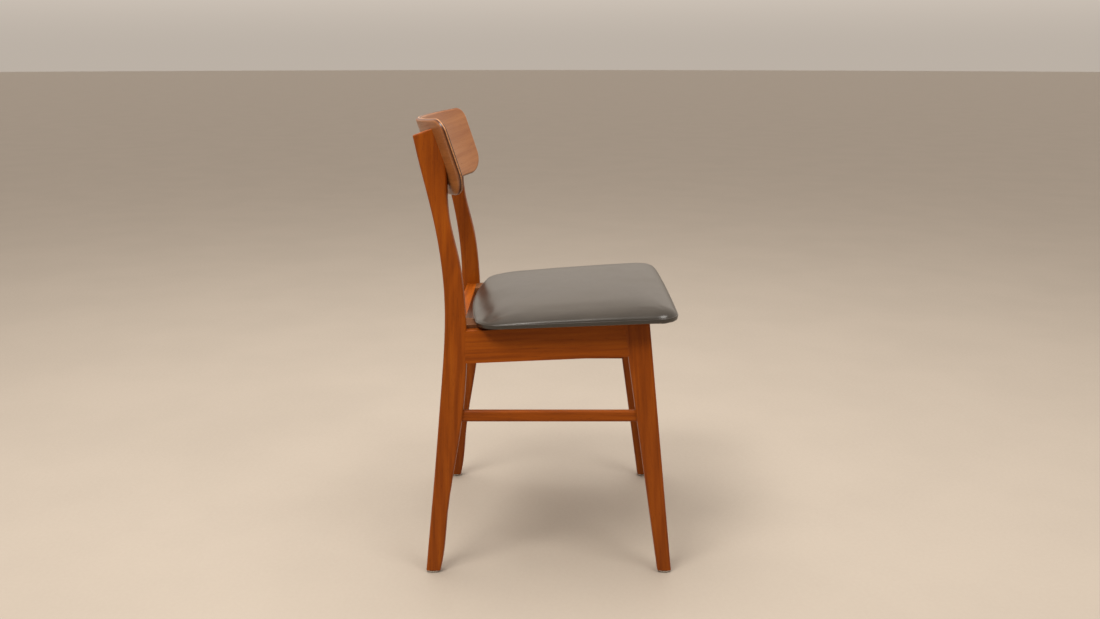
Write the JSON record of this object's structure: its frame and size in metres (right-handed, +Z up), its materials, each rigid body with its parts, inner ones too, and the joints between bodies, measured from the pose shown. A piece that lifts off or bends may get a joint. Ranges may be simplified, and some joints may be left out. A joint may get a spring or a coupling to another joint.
{
  "type": "dining chair",
  "caption": "Wooden dining chair with splayed legs, side stretchers, a curved plywood backrest and a black padded vinyl seat.",
  "frame": {"origin": "on the floor under the middle of the chair's bounding box", "axes": "+Z up, the chair faces -Y, +X is the sitter's left"},
  "size_m": [0.4668, 0.4521, 0.772],
  "materials": {
    "teak": "oiled, satin",
    "backrest_veneer": "oiled veneer on bent plywood, satin",
    "plywood": "sanded",
    "beech": "sanded",
    "foam": "open cell foam",
    "black_vinyl": "fine grain, semi-gloss",
    "nickel": "polished",
    "glide_rubber": "matt",
    "fastener_steel": "zinc plated"
  },
  "bodies": {
    "root": {"backrest_panel": "backrest_veneer", "backrest_screw_plugs": "teak", "backrest_screws": "fastener_steel", "corner_block_front_left": "beech", "corner_block_front_right": "beech", "corner_block_rear_left": "beech", "corner_block_rear_right": "beech", "corner_block_screws": "fastener_steel", "front_leg_left": "teak", "front_leg_right": "teak", "front_rail": "teak", "front_rail_dowels": "beech", "glide_caps": "nickel", "glide_cushions": "glide_rubber", "glide_nails": "fastener_steel", "rear_leg_left": "teak", "rear_leg_right": "teak", "rear_rail": "teak", "rear_rail_dowels": "beech", "seat_board": "plywood", "seat_cover": "black_vinyl", "seat_cover_staples": "fastener_steel", "seat_foam": "foam", "seat_screws": "fastener_steel", "side_rail_left": "teak", "side_rail_right": "teak", "stretcher_left": "teak", "stretcher_right": "teak"}
  },
  "joints": []
}
